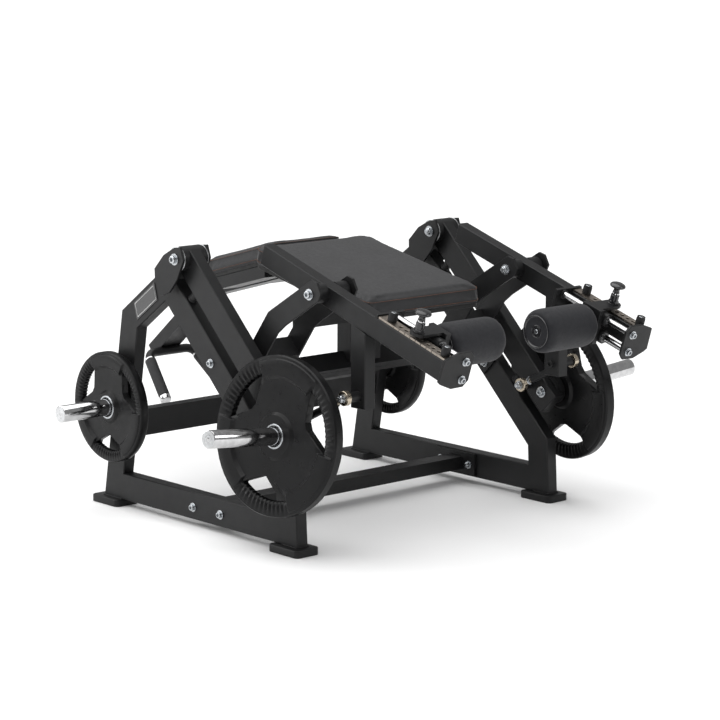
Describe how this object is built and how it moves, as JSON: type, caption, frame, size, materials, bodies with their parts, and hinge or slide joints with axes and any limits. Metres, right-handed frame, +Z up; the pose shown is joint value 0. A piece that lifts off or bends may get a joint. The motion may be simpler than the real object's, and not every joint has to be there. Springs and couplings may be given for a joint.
{
  "type": "lying leg curl machine",
  "caption": "Plate-loaded lying leg curl with two independent legs: sloping chest and hip pads, roller levers, link rods and swing arms with plate horns.",
  "frame": {"origin": "on the floor, below the middle of the whole length and width", "axes": "+X towards the foot end with the rollers, +Z up, +Y completes the right-handed frame and points to the right of someone lying on the pads"},
  "size_m": [1.7544, 1.6858, 0.8309],
  "materials": {
    "black_paint": "satin powder coat, fine texture",
    "zinc_steel": "zinc plated",
    "chrome": "polished",
    "bronze_steel": "yellow zinc, fine brushed",
    "plate_rubber": "matt",
    "stop_rubber": "matt",
    "grip_rubber": "matt",
    "knob_plastic": "gloss",
    "pad_cover": "fine grain",
    "roller_cover": "fine grain"
  },
  "bodies": {
    "frame": {"rear_cross_tube": "black_paint", "front_cross_tube": "black_paint", "bench_frame": "black_paint", "hip_pad": "pad_cover", "chest_pad": "pad_cover", "handlebar": "black_paint", "left_side_frame": "black_paint", "left_foot_front": "black_paint", "left_foot_rear": "black_paint", "left_apex_bolt": "zinc_steel", "left_upper_stop": "stop_rubber", "left_lower_stop": "stop_rubber", "left_grip": "grip_rubber", "left_grip_cap": "chrome", "left_storage_horn": "chrome", "left_knee_bolt": "zinc_steel", "right_side_frame": "black_paint", "right_foot_front": "black_paint", "right_foot_rear": "black_paint", "right_apex_bolt": "zinc_steel", "right_upper_stop": "stop_rubber", "right_lower_stop": "stop_rubber", "right_grip": "grip_rubber", "right_grip_cap": "chrome", "right_storage_horn": "chrome", "right_knee_bolt": "zinc_steel"},
    "left_lever": {"left_leg_lever": "black_paint", "left_guide_rod_upper": "chrome", "left_guide_rod_lower": "chrome", "left_end_plate": "black_paint", "left_index_bar": "bronze_steel", "left_stop_post_rear": "stop_rubber", "left_stop_post_front": "stop_rubber"},
    "left_carriage": {"left_carriage": "black_paint"},
    "left_pull_pin": {"left_pull_pin": "knob_plastic"},
    "left_roller": {"left_roller": "roller_cover"},
    "left_link": {"left_link_rod": "bronze_steel"},
    "left_swing": {"left_swing_arm": "black_paint", "left_weight_horn": "chrome"},
    "left_weight_plate": {"left_weight_plate": "plate_rubber"},
    "left_storage_plate": {"left_storage_plate": "plate_rubber"},
    "right_lever": {"right_leg_lever": "black_paint", "right_guide_rod_upper": "chrome", "right_guide_rod_lower": "chrome", "right_end_plate": "black_paint", "right_index_bar": "bronze_steel", "right_stop_post_rear": "stop_rubber", "right_stop_post_front": "stop_rubber"},
    "right_carriage": {"right_carriage": "black_paint"},
    "right_pull_pin": {"right_pull_pin": "knob_plastic"},
    "right_roller": {"right_roller": "roller_cover"},
    "right_link": {"right_link_rod": "bronze_steel"},
    "right_swing": {"right_swing_arm": "black_paint", "right_weight_horn": "chrome"},
    "right_weight_plate": {"right_weight_plate": "plate_rubber"},
    "right_storage_plate": {"right_storage_plate": "plate_rubber"}
  },
  "joints": [
    {"name": "left_swing_arm_pivot", "type": "hinge", "parent": "frame", "child": "left_swing", "pos_m": [-0.0832, -0.504, 0.78], "axis": [0, -1, 0], "range_deg": [0, 35]},
    {"name": "left_knee_pivot", "type": "hinge", "parent": "frame", "child": "left_lever", "pos_m": [0.3828, -0.385, 0.722], "axis": [0, -1, 0], "range_deg": [0, 70]},
    {"name": "left_link_pivot", "type": "hinge", "parent": "left_lever", "child": "left_link", "pos_m": [0.5278, -0.453, 0.453], "axis": [0, -1, 0], "range_deg": [-70, 0]},
    {"name": "left_carriage_slide", "type": "slide", "parent": "left_lever", "child": "left_carriage", "axis": [0.9511, 0, -0.309], "range_m": [-0.066, 0.066]},
    {"name": "left_pin_pull", "type": "slide", "parent": "left_carriage", "child": "left_pull_pin", "axis": [0.309, 0, 0.9511], "range_m": [0, 0.012], "stiffness_N_per_m": 800, "springref_m": -0.006},
    {"name": "left_roller_turn", "type": "hinge", "parent": "left_carriage", "child": "left_roller", "pos_m": [0.7274, -0.1855, 0.6039], "axis": [0, -1, 0], "continuous": true},
    {"name": "left_weight_plate_slide", "type": "slide", "parent": "left_swing", "child": "left_weight_plate", "axis": [0.1127, -0.9862, 0.1211], "range_m": [0, 0.25]},
    {"name": "left_storage_plate_slide", "type": "slide", "parent": "frame", "child": "left_storage_plate", "axis": [0, -1, 0], "range_m": [0, 0.16]},
    {"name": "right_swing_arm_pivot", "type": "hinge", "parent": "frame", "child": "right_swing", "pos_m": [-0.0832, 0.504, 0.78], "axis": [0, -1, 0], "range_deg": [0, 35]},
    {"name": "right_knee_pivot", "type": "hinge", "parent": "frame", "child": "right_lever", "pos_m": [0.3828, 0.385, 0.722], "axis": [0, -1, 0], "range_deg": [0, 70]},
    {"name": "right_link_pivot", "type": "hinge", "parent": "right_lever", "child": "right_link", "pos_m": [0.5278, 0.453, 0.453], "axis": [0, -1, 0], "range_deg": [-70, 0]},
    {"name": "right_carriage_slide", "type": "slide", "parent": "right_lever", "child": "right_carriage", "axis": [0.9511, 0, -0.309], "range_m": [-0.066, 0.066]},
    {"name": "right_pin_pull", "type": "slide", "parent": "right_carriage", "child": "right_pull_pin", "axis": [0.309, 0, 0.9511], "range_m": [0, 0.012], "stiffness_N_per_m": 800, "springref_m": -0.006},
    {"name": "right_roller_turn", "type": "hinge", "parent": "right_carriage", "child": "right_roller", "pos_m": [0.7274, 0.1855, 0.6039], "axis": [0, -1, 0], "continuous": true},
    {"name": "right_weight_plate_slide", "type": "slide", "parent": "right_swing", "child": "right_weight_plate", "axis": [0.1127, 0.9862, 0.1211], "range_m": [0, 0.25]},
    {"name": "right_storage_plate_slide", "type": "slide", "parent": "frame", "child": "right_storage_plate", "axis": [0, 1, 0], "range_m": [0, 0.16]}
  ],
  "couplings": [
    {"joint": "left_knee_pivot", "follows": "left_swing_arm_pivot", "ratio": 2},
    {"joint": "left_link_pivot", "follows": "left_swing_arm_pivot", "ratio": -2},
    {"joint": "right_knee_pivot", "follows": "right_swing_arm_pivot", "ratio": 2},
    {"joint": "right_link_pivot", "follows": "right_swing_arm_pivot", "ratio": -2}
  ]
}
